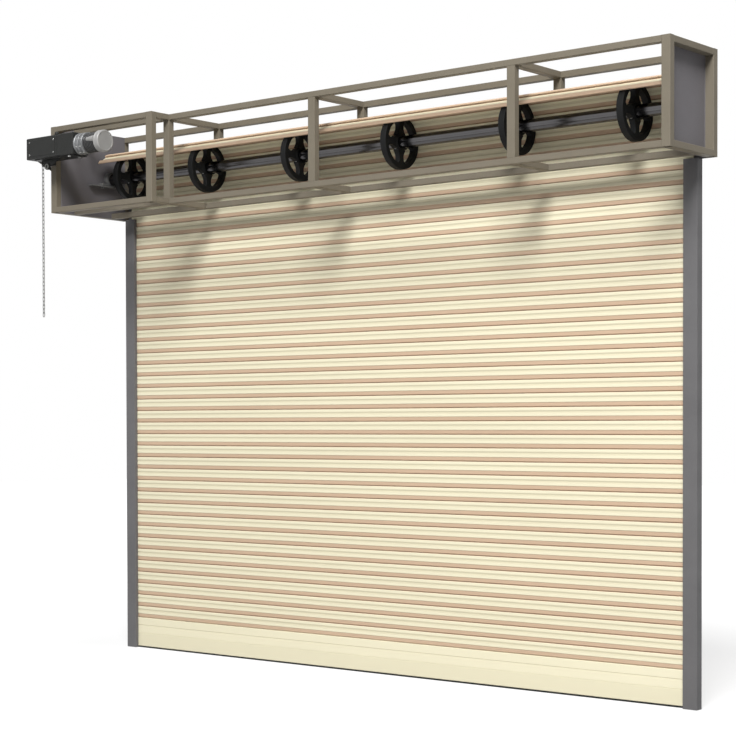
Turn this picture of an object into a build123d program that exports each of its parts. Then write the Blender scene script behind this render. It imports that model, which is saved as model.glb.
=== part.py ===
from build123d import *
import math
import os

# Roller shutter door, closed, in millimetres.
# Origin: floor level, wall plane, midway between the two guides. X runs along the wall, Z is up,
# and the room side, where the head frame stands out, is towards -Y.

# Curtain
slat_pitch = 77.0
slat_sheet = 1.5
slat_depth = 16.0
slat_half_length = 2120.0
last_joint_height = 207.5
riding_slats = 4
wrapped_slats = 5
curtain_front_y = -28.2

# Interlock of two slats, measured from the joint
band_height = 22.0
hook_drop = 4.0
hook_rise = 16.2
hook_gap = 0.3
hook_leg_y = 12.0
band_y = 3.0
tongue_y = 7.5
groove_half = 3.0
groove_depth = 1.8
straight_run = 60.0
bent_run = 12.0

# Bottom bar and seal
bar_top = 98.0
bar_bottom = 10.0
bar_wall = 2.0
seal_slot = 6.0
seal_width = 14.0
seal_clearance = 0.2

# Barrel
wheel_radius = 155.0
wheel_width = 40.0
wheel_rim = 31.0
wheel_spoke = 32.0
wheel_hub_radius = 50.0
wheel_places = [-1944.5, -1258.5, -474.5, 295.5, 1118.5, 1861.5]
wrap_clearance = 0.3
shaft_radius = 35.0
shaft_wall = 8.0
shaft_height = 3120.0
shaft_play = 0.05

# Head frame of rectangular tube
frame_left = -2225.5
frame_right = 2244.5
frame_below_shaft = 252.0
frame_above_shaft = 302.0
frame_depth = 488.0
bay_projection = 150.5
post_width = 51.0
tube_depth = 42.0
rail_height = 34.5
tube_wall = 2.5
step_post_x = -1313.5
middle_post_x = -115.5
right_post_x = 1286.5
low_rail_back_y = -121.2
end_plate_thickness = 4.0
strap_thickness = 8.0
upright_length = 200.0
head_anchor_radius = 6.5
head_anchor_spacing = 1200.0
head_anchor_count = 4

# Guides
guide_centre_x = 2114.5
guide_width = 84.0
guide_depth = 52.0
guide_wall = 3.0
guide_slot = 20.0
guide_lug_height = 60.0
guide_lug_rise = 110.0
guide_lug_thickness = 6.0
guide_anchor_radius = 6.5
guide_anchor_x = 2137.0
guide_anchor_low = 250.0
guide_anchor_from_top = 218.0
guide_anchor_count = 4

# Bearings on shelves
shelf_depth = 40.0
shelf_thickness = 8.0
shelf_front_y = -364.0
shelf_back_y = -60.0
bearing_height = 44.0
bearing_width = 36.0
bearing_radius = 52.0
bearing_base_length = 190.0
bearing_base_height = 16.0
bearing_bolt_spacing = 150.0
plate_hole_radius = 42.0
bolt_radius = 6.0
bolt_hole_radius = 6.3

# Operator
operator_y = -728.0
operator_above_shaft = 142.0
operator_left = -2288.0
housing_length = 454.0
housing_height = 128.0
housing_depth = 130.0
housing_edge = 6.0
ring_length = 82.0
ring_radius = 68.0
ring_groove = 3.0
motor_length = 106.0
motor_radius = 62.0
motor_rib_count = 8
motor_rib_height = 4.0
cap_length = 42.0
cap_radius = 68.5
cap_edge = 6.0
neck_small_radius = 13.0
neck_large_radius = 20.0
neck_length = 70.0
neck_forward = 52.0
neck_rise = 12.0
knob_radius = 16.0
knob_height = 12.0
tray_thickness = 6.0
tray_flange = 26.0
tray_right = -1850.0

# Release lever and its chain
lever_pivot_x = -2141.0
lever_pivot_drop = 112.0
lever_arm_x = 56.0
lever_arm_rise = 15.0
lever_thickness = 5.0
lever_width = 20.0
lever_eye_radius = 7.0
pivot_radius = 8.0
pivot_play = 0.05
cheek_thickness = 6.0
cheek_half_top = 120.0
cheek_nose_radius = 21.0
boss_height = 8.0
link_count = 39
link_inner_length = 25.0
link_inner_width = 8.2
link_wire = 4.4
link_slack = 0.2
eye_slack = 1.5

# Chain drive between operator and shaft
drive_x = -2300.0
chain_pitch = 19.05
large_teeth = 36
small_teeth = 9
roller_radius = 5.9
roller_clearance = 0.3
tooth_height = 2.2
sprocket_width = 11.0
link_plate_height = 15.0
link_plate_thickness = 1.8
chain_pin_radius = 2.8
output_radius = 12.5
output_play = 0.05

# Values that follow from the sizes above
curtain_back_y = curtain_front_y + slat_depth
wrap_inner_radius = wheel_radius + wrap_clearance
shaft_y = curtain_front_y - wrap_inner_radius
wrap_middle_radius = wrap_inner_radius + slat_depth / 2
back_y = slat_depth - slat_sheet / 2
face_y = slat_sheet / 2
riding_top = last_joint_height + riding_slats * slat_pitch
hanging_slats = math.ceil((shaft_height - riding_top) / slat_pitch)
hanging_top = riding_top + hanging_slats * slat_pitch
frame_bottom = shaft_height - frame_below_shaft
frame_top = shaft_height + frame_above_shaft
upright_foot = frame_top - upright_length
guide_anchor_spacing = (frame_bottom - guide_anchor_from_top - guide_anchor_low) / (guide_anchor_count - 1)
operator_height = shaft_height + operator_above_shaft
lever_pivot_height = operator_height - lever_pivot_drop
frame_front_y = -frame_depth
bay_front_y = -frame_depth - bay_projection
left_plate_inner = frame_left + post_width + end_plate_thickness
right_plate_inner = frame_right - post_width - end_plate_thickness
shelf_top = shaft_height - bearing_height
housing_right = operator_left + housing_length
ring_right = housing_right + ring_length
motor_right = ring_right + motor_length
housing_bottom = operator_height - housing_height / 2
tray_top = housing_bottom
large_pitch_radius = chain_pitch / 2 / math.sin(math.pi / large_teeth)
small_pitch_radius = chain_pitch / 2 / math.sin(math.pi / small_teeth)

os.makedirs("parts", exist_ok=True)


def save(piece, label):
    """Names a finished piece and writes it as one STEP."""
    piece.label = label
    export_step(piece, "parts/" + label + ".step")
    print(label, len(piece.solids()), "solids", round(piece.volume / 1000), "cm3")


# Curtain: interlocking slats of folded sheet, hanging straight and wrapped round the wheels


def curtain_point(depth, height):
    """Place of a point of the curtain in the YZ plane: straight up to the shaft's height, then round it."""
    if height <= shaft_height:
        return (curtain_front_y + depth, height)
    turn = (height - shaft_height) / wrap_middle_radius
    radius = wrap_inner_radius + depth
    return (shaft_y + radius * math.cos(turn), shaft_height + radius * math.sin(turn))


def with_steps(points, longest):
    """The same path with its long runs divided, so that it can follow a curve."""
    path = [points[0]]
    for start, end in zip(points, points[1:]):
        parts = max(1, math.ceil(abs(end[1] - start[1]) / longest))
        for part in range(1, parts + 1):
            share = part / parts
            path.append((start[0] + share * (end[0] - start[0]), start[1] + share * (end[1] - start[1])))
    return path


def sheet_outline(points, thickness):
    """Closed outline of a sheet folded along a path, with mitred corners."""
    sides = ([], [])
    for index, point in enumerate(points):
        before = points[max(index - 1, 0)]
        after = points[min(index + 1, len(points) - 1)]
        into = (point[0] - before[0], point[1] - before[1])
        out = (after[0] - point[0], after[1] - point[1])
        if index == 0:
            into = out
        if index == len(points) - 1:
            out = into
        into_length = math.hypot(*into)
        out_length = math.hypot(*out)
        normal_in = (-into[1] / into_length, into[0] / into_length)
        normal_out = (-out[1] / out_length, out[0] / out_length)
        mitre = (normal_in[0] + normal_out[0], normal_in[1] + normal_out[1])
        scale = thickness / 2 * 2 / (mitre[0] ** 2 + mitre[1] ** 2)
        for side, sign in zip(sides, (1, -1)):
            side.append((point[0] + sign * scale * mitre[0], point[1] + sign * scale * mitre[1]))
    return sides[0] + sides[1][::-1]


def tongue_path(joint):
    """Top end of a slat at its upper joint: back behind the band, up, over and down into the hook."""
    top = joint + hook_rise + hook_gap + slat_sheet
    corner = 2.0
    return [
        (face_y, joint - hook_drop - slat_depth / 2),
        (back_y, joint - hook_drop - 2 * slat_sheet),
        (back_y, top - corner),
        (back_y - corner, top),
        (tongue_y + corner, top),
        (tongue_y, top - corner),
        (tongue_y, joint),
    ]


def hook_path(joint):
    """Bottom end of a slat at its lower joint: an upward hook and the coloured band above it."""
    corner = 2.0
    low = joint - hook_drop + slat_sheet / 2
    return [
        (hook_leg_y, joint + hook_rise),
        (hook_leg_y, low + corner),
        (hook_leg_y - corner, low),
        (band_y + corner, low),
        (band_y, low + corner),
        (band_y, joint + band_height - hook_drop),
        (face_y, joint + band_height - hook_drop + band_y),
    ]


def groove_path(height):
    """Shallow groove along the middle of a slat's face."""
    return [
        (face_y, height - groove_half),
        (face_y + groove_depth, height),
        (face_y, height + groove_half),
    ]


def slat_path(joint):
    """Whole section of the slat between its lower joint and the one above."""
    middle = joint + slat_pitch / 2 + band_height / 4
    return hook_path(joint) + groove_path(middle) + tongue_path(joint + slat_pitch)


def curtain_outline(points):
    """Closed outline of a folded sheet that lies on the curtain's line."""
    return sheet_outline([curtain_point(*point) for point in points], slat_sheet)


def slat_run(first_joint, count, longest):
    """Slats one above another, each a solid of its own."""
    with BuildPart() as run:
        for index in range(count):
            path = with_steps(slat_path(first_joint + index * slat_pitch), longest)
            with BuildSketch(Plane.YZ):
                with BuildLine():
                    Polyline(*curtain_outline(path), close=True)
                make_face()
            extrude(amount=slat_half_length, both=True)
    return run.part


save(slat_run(riding_top, hanging_slats, straight_run), "hanging_slats")
save(slat_run(hanging_top, wrapped_slats, bent_run), "wrapped_slats")

with BuildPart() as lifting_slats:
    for index in range(riding_slats):
        with BuildSketch(Plane.YZ):
            with BuildLine():
                Polyline(*curtain_outline(slat_path(last_joint_height + index * slat_pitch)), close=True)
            make_face()
        extrude(amount=slat_half_length, both=True)
    bottom_groove = (bar_top + last_joint_height) / 2 - 3
    bottom_slat = [(back_y, bar_top + face_y), (face_y, bar_top + face_y)]
    bottom_slat += groove_path(bottom_groove) + tongue_path(last_joint_height)
    with BuildSketch(Plane.YZ):
        with BuildLine():
            Polyline(*curtain_outline(bottom_slat), close=True)
        make_face()
    extrude(amount=slat_half_length, both=True)
save(lifting_slats.part, "lifting_slats")

curtain_middle_y = curtain_front_y + slat_depth / 2
bar_middle = (bar_top + bar_bottom) / 2

with BuildPart() as bottom_bar:
    with BuildSketch(Plane.YZ):
        with Locations((curtain_middle_y, bar_middle)):
            Rectangle(slat_depth, bar_top - bar_bottom)
            Rectangle(
                slat_depth - 2 * bar_wall, bar_top - bar_bottom - 2 * bar_wall, mode=Mode.SUBTRACT
            )
        with Locations((curtain_middle_y, bar_bottom)):
            Rectangle(seal_slot, 4 * bar_wall, mode=Mode.SUBTRACT)
    extrude(amount=slat_half_length, both=True)
save(bottom_bar.part, "bottom_bar")

seal_stem = bar_wall + 2 * seal_clearance
seal_head = 2.4

with BuildPart() as bottom_seal:
    with BuildSketch(Plane.YZ):
        with Locations((curtain_middle_y, bar_bottom / 2)):
            RectangleRounded(seal_width, bar_bottom, 2.0)
        with Locations((curtain_middle_y, bar_bottom + seal_stem / 2)):
            Rectangle(seal_slot - 2 * seal_clearance, seal_stem)
        with Locations((curtain_middle_y, bar_bottom + seal_stem + seal_head / 2)):
            Rectangle(slat_depth - 2 * bar_wall - 2 * seal_clearance, seal_head)
    extrude(amount=slat_half_length, both=True)
save(bottom_seal.part, "bottom_seal")


# Barrel: tubular shaft, six spoked wheels and the large sprocket

shaft_left = drive_x - sprocket_width
shaft_right = right_plate_inner - 2.0

with BuildPart() as shaft:
    with BuildSketch(Plane.YZ.offset(shaft_left)):
        with Locations((shaft_y, shaft_height)):
            Circle(shaft_radius)
            Circle(shaft_radius - shaft_wall, mode=Mode.SUBTRACT)
    extrude(amount=shaft_right - shaft_left)
save(shaft.part, "shaft")

for number, place in enumerate(wheel_places, start=1):
    with BuildPart() as wheel:
        with BuildSketch(Plane.YZ.offset(place - wheel_width / 2)):
            with Locations((shaft_y, shaft_height)):
                Circle(wheel_radius)
                Circle(wheel_radius - wheel_rim, mode=Mode.SUBTRACT)
                Rectangle(2 * wheel_radius - wheel_rim, wheel_spoke)
                Rectangle(wheel_spoke, 2 * wheel_radius - wheel_rim)
                Circle(wheel_hub_radius)
                Circle(shaft_radius + shaft_play, mode=Mode.SUBTRACT)
        extrude(amount=wheel_width)
    save(wheel.part, "wheel_" + str(number))


# Tooth tips lie just inside the chain's rollers
large_root_radius = large_pitch_radius - roller_radius - roller_clearance - tooth_height
small_root_radius = small_pitch_radius - roller_radius - roller_clearance - tooth_height

with BuildPart() as large_sprocket:
    with BuildSketch(Plane.YZ.offset(drive_x - sprocket_width / 2)):
        with Locations((shaft_y, shaft_height)):
            Circle(large_root_radius)
            with PolarLocations(large_root_radius, large_teeth):
                Rectangle(2 * tooth_height, tooth_height)
            Circle(shaft_radius + shaft_play, mode=Mode.SUBTRACT)
    extrude(amount=sprocket_width)
save(large_sprocket.part, "large_sprocket")

with BuildPart() as output_sprocket:
    with BuildSketch(Plane.YZ.offset(drive_x - sprocket_width / 2)):
        with Locations((operator_y, operator_height)):
            Circle(small_root_radius)
            with PolarLocations(small_root_radius, small_teeth):
                Rectangle(2 * tooth_height, tooth_height)
    extrude(amount=sprocket_width)
    with BuildSketch(Plane.YZ.offset(drive_x)):
        with Locations((operator_y, operator_height)):
            Circle(output_radius)
    extrude(amount=operator_left + housing_length / 4 - drive_x)
save(output_sprocket.part, "output_sprocket")


# Roller chain: two rows of link plates round both sprockets, joined by pins and rollers

centre_distance = math.hypot(shaft_y - operator_y, shaft_height - operator_height)
chain_slope = math.atan2(shaft_height - operator_height, shaft_y - operator_y)
chain_lean = math.asin((large_pitch_radius - small_pitch_radius) / centre_distance)
run_length = centre_distance * math.cos(chain_lean)
small_arc = small_pitch_radius * (math.pi - 2 * chain_lean)
large_arc = large_pitch_radius * (math.pi + 2 * chain_lean)
chain_length = 2 * run_length + small_arc + large_arc
chain_links = round(chain_length / chain_pitch)


def chain_point(way):
    """Point of the chain's loop after that length: top run, large arc, bottom run, small arc."""
    way = way % chain_length
    top_angle = chain_slope + math.pi / 2 + chain_lean
    low_angle = chain_slope - math.pi / 2 - chain_lean
    if way < run_length:
        share = way / run_length
        start = on_circle(operator_y, operator_height, small_pitch_radius, top_angle)
        end = on_circle(shaft_y, shaft_height, large_pitch_radius, top_angle)
        return (start[0] + share * (end[0] - start[0]), start[1] + share * (end[1] - start[1]))
    way -= run_length
    if way < large_arc:
        return on_circle(shaft_y, shaft_height, large_pitch_radius, top_angle - way / large_pitch_radius)
    way -= large_arc
    if way < run_length:
        share = way / run_length
        start = on_circle(shaft_y, shaft_height, large_pitch_radius, low_angle)
        end = on_circle(operator_y, operator_height, small_pitch_radius, low_angle)
        return (start[0] + share * (end[0] - start[0]), start[1] + share * (end[1] - start[1]))
    way -= run_length
    return on_circle(operator_y, operator_height, small_pitch_radius, low_angle - way / small_pitch_radius)


def on_circle(y, z, radius, angle):
    """Point of a circle in the YZ plane."""
    return (y + radius * math.cos(angle), z + radius * math.sin(angle))


pin_places = [chain_point(index * chain_length / chain_links) for index in range(chain_links)]
plate_gap = sprocket_width / 2 + 0.5

with BuildPart() as drive_chain:
    for side in (-1, 1):
        start_x = drive_x + side * plate_gap
        with BuildSketch(Plane.YZ.offset(start_x)):
            with BuildLine():
                Polyline(*pin_places, close=True)
            make_face()
            offset(amount=link_plate_height / 2, kind=Kind.INTERSECTION)
        extrude(amount=side * link_plate_thickness)
        with BuildSketch(Plane.YZ.offset(start_x)):
            with BuildLine():
                Polyline(*pin_places, close=True)
            make_face()
            offset(amount=-link_plate_height / 2, kind=Kind.INTERSECTION)
        extrude(amount=side * link_plate_thickness, mode=Mode.SUBTRACT)
    with BuildSketch(Plane.YZ.offset(drive_x - plate_gap - link_plate_thickness)):
        with Locations(*pin_places):
            Circle(chain_pin_radius)
    extrude(amount=2 * (plate_gap + link_plate_thickness))
    with BuildSketch(Plane.YZ.offset(drive_x - sprocket_width / 2)):
        with Locations(*pin_places):
            Circle(roller_radius)
    extrude(amount=sprocket_width)
save(drive_chain.part, "drive_chain")


# Head frame: rectangular tube, each member a piece of its own


def tube_along_x(label, start, end, front_y, low_z):
    """Rail along the wall, from its front bottom edge."""
    with BuildPart() as rail:
        with BuildSketch(Plane.YZ.offset(start)):
            with Locations((front_y + tube_depth / 2, low_z + rail_height / 2)):
                Rectangle(tube_depth, rail_height)
                Rectangle(tube_depth - 2 * tube_wall, rail_height - 2 * tube_wall, mode=Mode.SUBTRACT)
        extrude(amount=end - start)
        if label == "rear_top_rail":
            with BuildSketch(Plane.XZ):
                with Locations((0, low_z + rail_height / 2)):
                    with GridLocations(head_anchor_spacing, 0, head_anchor_count, 1):
                        Circle(head_anchor_radius)
            extrude(amount=2 * tube_wall, mode=Mode.SUBTRACT)
    save(rail.part, label)


def tube_along_y(label, middle_x, front_y, rear_y, low_z):
    """Cross member from the room side back towards the wall."""
    with BuildPart() as member:
        with BuildSketch(Plane.XZ.offset(-front_y)):
            with Locations((middle_x, low_z + rail_height / 2)):
                Rectangle(post_width, rail_height)
                Rectangle(post_width - 2 * tube_wall, rail_height - 2 * tube_wall, mode=Mode.SUBTRACT)
        extrude(amount=front_y - rear_y)
    save(member.part, label)


def tube_along_z(label, middle_x, front_y, low_z, high_z):
    """Upright post."""
    with BuildPart() as post:
        with BuildSketch(Plane.XY.offset(low_z)):
            with Locations((middle_x, front_y + tube_depth / 2)):
                Rectangle(post_width, tube_depth)
                Rectangle(post_width - 2 * tube_wall, tube_depth - 2 * tube_wall, mode=Mode.SUBTRACT)
        extrude(amount=high_z - low_z)
    save(post.part, label)


top_rail_z = frame_top - rail_height
left_post_x = frame_left + post_width / 2
right_end_x = frame_right - post_width / 2
front_inner_y = frame_front_y + tube_depth
bay_inner_y = bay_front_y + tube_depth
wall_rail_y = -tube_depth
low_rail_front_y = low_rail_back_y - tube_depth
bay_left = frame_left + post_width
bay_right = step_post_x - post_width / 2
end_right = frame_right - post_width

tube_along_x("front_top_rail", left_plate_inner, end_right, frame_front_y, top_rail_z)
tube_along_x("front_bottom_rail", left_plate_inner, end_right, frame_front_y, frame_bottom)
tube_along_x("rear_top_rail", bay_left, end_right, wall_rail_y, top_rail_z)
tube_along_x("rear_bottom_rail", left_plate_inner, right_plate_inner, low_rail_front_y, frame_bottom)
tube_along_x("bay_top_rail", bay_left, bay_right, bay_front_y, top_rail_z)
tube_along_x("bay_bottom_rail", bay_left, bay_right, bay_front_y, frame_bottom)

for end, middle_x, front_y in (
    ("left", left_post_x, bay_front_y),
    ("right", right_end_x, frame_front_y),
):
    tube_along_z(end + "_front_post", middle_x, front_y, frame_bottom, frame_top)
    tube_along_z(end + "_rear_post", middle_x, wall_rail_y, frame_bottom, frame_top)
    tube_along_y(end + "_top_tube", middle_x, front_y + tube_depth, wall_rail_y, top_rail_z)
    tube_along_y(end + "_bottom_tube", middle_x, front_y + tube_depth, wall_rail_y, frame_bottom)

tube_along_z("bay_post", step_post_x, bay_front_y, frame_bottom, frame_top)
tube_along_y("bay_top_side", step_post_x, bay_inner_y, frame_front_y, top_rail_z)
tube_along_y("bay_bottom_side", step_post_x, bay_inner_y, frame_front_y, frame_bottom)

for place, middle_x in (("step", step_post_x), ("middle", middle_post_x), ("right_bay", right_post_x)):
    tube_along_z(place + "_front_upright", middle_x, frame_front_y, frame_bottom + rail_height, top_rail_z)
    tube_along_y(place + "_top_cross", middle_x, front_inner_y, wall_rail_y, top_rail_z)
    tube_along_y(place + "_bottom_cross", middle_x, front_inner_y, low_rail_front_y, frame_bottom)
    with BuildPart() as rear_upright:
        with BuildSketch(Plane.YZ.offset(middle_x - post_width / 2)):
            with BuildLine():
                Polyline(
                    (0, frame_bottom),
                    (0, top_rail_z),
                    (wall_rail_y, top_rail_z),
                    (wall_rail_y, upright_foot),
                    (-strap_thickness, upright_foot),
                    (-strap_thickness, frame_bottom),
                    close=True,
                )
            make_face()
        extrude(amount=post_width)
    save(rear_upright.part, place + "_rear_upright")

for end, outer_x, front_y in (
    ("left", left_plate_inner - end_plate_thickness, bay_inner_y),
    ("right", right_plate_inner, front_inner_y),
):
    with BuildPart() as end_plate:
        with BuildSketch(Plane.YZ.offset(outer_x)):
            with Locations(((front_y + wall_rail_y) / 2, (frame_bottom + frame_top) / 2)):
                Rectangle(wall_rail_y - front_y, frame_top - frame_bottom)
            if end == "left":
                with Locations((shaft_y, shaft_height)):
                    Circle(plate_hole_radius, mode=Mode.SUBTRACT)
        extrude(amount=end_plate_thickness)
    save(end_plate.part, end + "_end_plate")


# Guides: lipped channels on the wall, open towards the curtain, with a lug up to the rear post

for end, side, post_face in (("left", -1, bay_left), ("right", 1, end_right)):
    centre_x = side * guide_centre_x
    mouth_x = centre_x - side * (guide_width - guide_wall) / 2
    lug_start = side * (guide_anchor_x - 2 * guide_anchor_radius)
    with BuildPart() as guide:
        with BuildSketch(Plane.XY):
            with Locations((centre_x, -guide_depth / 2)):
                Rectangle(guide_width, guide_depth)
                Rectangle(guide_width - 2 * guide_wall, guide_depth - 2 * guide_wall, mode=Mode.SUBTRACT)
            with Locations((mouth_x, curtain_middle_y)):
                Rectangle(2 * guide_wall, guide_slot, mode=Mode.SUBTRACT)
        extrude(amount=frame_bottom)
        for lug_low, lug_high, lug_end in (
            (frame_bottom - guide_lug_height, frame_bottom, centre_x + side * guide_width / 2),
            (frame_bottom, frame_bottom + guide_lug_rise, post_face),
        ):
            with BuildSketch(Plane.XY.offset(lug_low)):
                with Locations(((lug_start + lug_end) / 2, -guide_lug_thickness / 2)):
                    Rectangle(abs(lug_end - lug_start), guide_lug_thickness)
            extrude(amount=lug_high - lug_low)
        with BuildSketch(Plane.XZ):
            for index in range(guide_anchor_count):
                height = guide_anchor_low + index * guide_anchor_spacing
                with Locations((side * guide_anchor_x, height)):
                    Circle(guide_anchor_radius)
        extrude(amount=guide_wall * 2, mode=Mode.SUBTRACT)
    save(guide.part, end + "_guide")


# Bearings: a block on a shelf at each end plate

bearing_bolts = []
for end, plate_x, side in (("left", left_plate_inner, 1), ("right", right_plate_inner, -1)):
    middle_x = plate_x + side * shelf_depth / 2
    bolt_places = [
        (middle_x, shaft_y - bearing_bolt_spacing / 2),
        (middle_x, shaft_y + bearing_bolt_spacing / 2),
    ]
    bearing_bolts += bolt_places
    with BuildPart() as bearing:
        with BuildSketch(Plane.YZ.offset(middle_x - bearing_width / 2)):
            with Locations((shaft_y, shelf_top + bearing_base_height / 2)):
                Rectangle(bearing_base_length, bearing_base_height)
            with Locations((shaft_y, shaft_height)):
                Circle(bearing_radius)
            with Locations((shaft_y, shelf_top - bearing_radius)):
                Rectangle(2 * bearing_base_length, 2 * bearing_radius, mode=Mode.SUBTRACT)
            with Locations((shaft_y, shaft_height)):
                Circle(shaft_radius + shaft_play, mode=Mode.SUBTRACT)
        extrude(amount=bearing_width)
        with BuildSketch(Plane.XY.offset(shelf_top)):
            with Locations(*bolt_places):
                Circle(bolt_hole_radius)
        extrude(amount=bearing_base_height, mode=Mode.SUBTRACT)
    with BuildPart() as shelf:
        with BuildSketch(Plane.XY.offset(shelf_top - shelf_thickness)):
            with Locations((middle_x, (shelf_front_y + shelf_back_y) / 2)):
                Rectangle(shelf_depth, shelf_back_y - shelf_front_y)
            with Locations(*bolt_places):
                Circle(bolt_hole_radius, mode=Mode.SUBTRACT)
        extrude(amount=shelf_thickness)
    save(Compound(children=[bearing.part.solid(), shelf.part.solid()]), end + "_bearing")


# Operator: housing, ribbed ring, motor and end cap in line with the wall, on a tray

with BuildPart() as gear_housing:
    with BuildSketch(Plane.YZ.offset(operator_left)):
        with Locations((operator_y, operator_height)):
            Rectangle(housing_depth, housing_height)
    extrude(amount=housing_length)
    chamfer(gear_housing.edges().filter_by(Axis.X), housing_edge)
    with BuildSketch(Plane.YZ.offset(operator_left)):
        with Locations((operator_y, operator_height)):
            Circle(output_radius + output_play)
    extrude(amount=housing_length / 4, mode=Mode.SUBTRACT)
    with BuildSketch(Plane.XY.offset(operator_height + housing_height / 2)):
        with Locations((operator_left + housing_length / 2, operator_y)):
            Circle(knob_radius)
    extrude(amount=knob_height)
save(gear_housing.part, "gear_housing")

with BuildPart() as gear_ring:
    with BuildSketch(Plane.XY.offset(operator_height)):
        with BuildLine():
            lobe = ring_length / 6
            outline = [(housing_right, operator_y)]
            for index in range(3):
                start_x = housing_right + 2 * index * lobe
                outline += [
                    (start_x, operator_y - ring_radius + ring_groove),
                    (start_x + ring_groove, operator_y - ring_radius),
                    (start_x + 2 * lobe - ring_groove, operator_y - ring_radius),
                    (start_x + 2 * lobe, operator_y - ring_radius + ring_groove),
                ]
            outline += [(ring_right, operator_y)]
            kept_points = []
            for point in outline:
                if not kept_points or math.dist(point, kept_points[-1]) > 0.01:
                    kept_points.append(point)
            Polyline(*kept_points, close=True)
        make_face()
    revolve(axis=Axis((0, operator_y, operator_height), (1, 0, 0)))
save(gear_ring.part, "gear_ring")

with BuildPart() as motor:
    with BuildSketch(Plane.YZ.offset(ring_right)):
        with Locations((operator_y, operator_height)):
            Circle(motor_radius - motor_rib_height)
    extrude(amount=motor_length)
    rib_pitch = motor_length / motor_rib_count
    for index in range(motor_rib_count):
        with BuildSketch(Plane.YZ.offset(ring_right + (index + 0.25) * rib_pitch)):
            with Locations((operator_y, operator_height)):
                Circle(motor_radius)
        extrude(amount=rib_pitch / 2)
    neck_place = (motor_right - neck_length / 2, operator_y - neck_forward, operator_height + neck_rise)
    with Locations(Location(neck_place, (0, 90, 0))):
        Cone(neck_small_radius, neck_large_radius, neck_length)
save(motor.part, "motor_body")

with BuildPart() as end_cap:
    with BuildSketch(Plane.YZ.offset(motor_right)):
        with Locations((operator_y, operator_height)):
            Circle(cap_radius)
    extrude(amount=cap_length)
    fillet(end_cap.faces().sort_by(Axis.X)[-1].edges(), cap_edge)
save(end_cap.part, "end_cap")

cheek_y = operator_y - lever_thickness / 2 - 1.0 - cheek_thickness
tray_front = operator_y - housing_depth / 2
post_front = bay_front_y
tray_left = frame_left
tray_bolt_places = [
    (tray_left + 60.0, operator_y + 40.0),
    (housing_right - 60.0, operator_y + 40.0),
    (housing_right - 60.0, operator_y - 40.0),
]

with BuildPart() as operator_tray:
    with BuildSketch(Plane.YZ.offset(tray_left)):
        with BuildLine():
            Polyline(
                (operator_y - housing_depth / 4, tray_top),
                (post_front, tray_top),
                (post_front, tray_top - tray_flange),
                (post_front - tray_thickness, tray_top - tray_flange),
                (post_front - tray_thickness, tray_top - tray_thickness),
                (operator_y - housing_depth / 4, tray_top - tray_thickness),
                close=True,
            )
        make_face()
    extrude(amount=post_width)
    with BuildSketch(Plane.XY.offset(tray_top - tray_thickness)):
        with Locations(((tray_left + tray_right) / 2, operator_y + 10.0)):
            Rectangle(tray_right - tray_left, housing_depth - 20.0)
    extrude(amount=tray_thickness)
    with BuildSketch(Plane.XY.offset(tray_top - tray_thickness)):
        with Locations(*tray_bolt_places):
            Circle(bolt_hole_radius)
    extrude(amount=tray_thickness, mode=Mode.SUBTRACT)
save(operator_tray.part, "operator_tray")

bracket_top = tray_top - tray_thickness
nose_z = lever_pivot_height

with BuildPart() as release_bracket:
    with BuildSketch(Plane.XZ.offset(-cheek_y)):
        with BuildLine():
            Polyline(
                (lever_pivot_x - cheek_half_top / 2, bracket_top),
                (lever_pivot_x + cheek_half_top, bracket_top),
                (lever_pivot_x + cheek_nose_radius, nose_z),
                (lever_pivot_x, nose_z - cheek_nose_radius),
                (lever_pivot_x - cheek_nose_radius, nose_z),
                close=True,
            )
        make_face()
        with Locations((lever_pivot_x, nose_z)):
            Circle(cheek_nose_radius)
    extrude(amount=-cheek_thickness)
    with BuildSketch(Plane.XZ.offset(-cheek_y)):
        with Locations((lever_pivot_x, nose_z)):
            Circle(cheek_nose_radius)
    extrude(amount=boss_height)
    with BuildSketch(Plane.XZ.offset(-cheek_y)):
        with Locations((lever_pivot_x, nose_z)):
            Circle(pivot_radius)
    extrude(amount=-(2 * cheek_thickness + lever_thickness + 4.0))
save(release_bracket.part, "release_bracket")

lever_eye_x = lever_pivot_x - lever_arm_x
lever_eye_z = lever_pivot_height + lever_arm_rise

with BuildPart() as release_lever:
    with BuildSketch(Plane.XZ.offset(-(operator_y - lever_thickness / 2))):
        with BuildLine():
            Line((lever_pivot_x, lever_pivot_height), (lever_eye_x, lever_eye_z))
        trace(line_width=lever_width)
        with Locations((lever_pivot_x, lever_pivot_height)):
            Circle(0.8 * lever_width)
        with Locations((lever_eye_x, lever_eye_z)):
            Circle(lever_eye_radius + 4.0)
        with Locations((lever_pivot_x, lever_pivot_height)):
            Circle(pivot_radius + pivot_play, mode=Mode.SUBTRACT)
        with Locations((lever_eye_x, lever_eye_z)):
            Circle(lever_eye_radius, mode=Mode.SUBTRACT)
    extrude(amount=-lever_thickness)
save(release_lever.part, "release_lever")


# Release chain: welded links, turned by a quarter from one to the next, hanging from the lever's eye

link_radius = (link_inner_width + link_wire) / 2
link_straight = link_inner_length - link_inner_width
first_link_z = lever_eye_z - lever_eye_radius + eye_slack - link_inner_length / 2
link_step = link_inner_length - link_slack


def chain_link(plane):
    """One link as an oval of round wire in the given plane, long side along Z."""
    with BuildPart() as link:
        with BuildLine(plane):
            half = link_straight / 2
            Line((link_radius, -half), (link_radius, half))
            ThreePointArc((link_radius, half), (0, half + link_radius), (-link_radius, half))
            Line((-link_radius, half), (-link_radius, -half))
            ThreePointArc((-link_radius, -half), (0, -half - link_radius), (link_radius, -half))
        start = plane.from_local_coords((link_radius, -half, 0))
        with BuildSketch(Plane(origin=start, z_dir=plane.y_dir)):
            Circle(link_wire / 2)
        sweep()
    return link.part


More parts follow.
